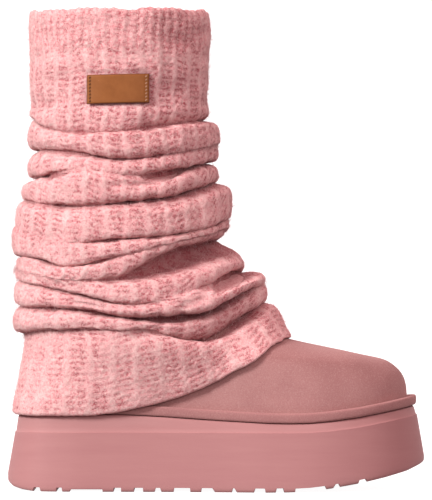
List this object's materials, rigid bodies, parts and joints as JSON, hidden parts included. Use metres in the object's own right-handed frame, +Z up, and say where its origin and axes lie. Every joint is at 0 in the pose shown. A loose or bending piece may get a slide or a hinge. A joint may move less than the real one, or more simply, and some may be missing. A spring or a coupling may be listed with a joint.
{
  "type": "sheepskin ankle boot",
  "caption": "Platform sheepskin boot with a suede vamp, a moulded foam sole and a slouched ribbed knit leg, for the right foot, standing empty.",
  "frame": {"origin": "floor level under the middle of the boot's bounding box", "axes": "+Z up, +X towards the toe, -Y towards the little toe"},
  "size_m": [0.2802, 0.1122, 0.32],
  "materials": {
    "platform_sole": "matte moulded foam",
    "welt": "suede binding",
    "upper": "suede outside, fleece inside",
    "insole": "fleece",
    "knit_shaft": "brushed heather knit",
    "label": "smooth tan leather"
  },
  "bodies": {
    "root": {"platform_sole": "platform_sole", "welt": "welt", "upper": "upper", "insole": "insole", "knit_shaft": "knit_shaft", "label": "label"}
  },
  "joints": []
}
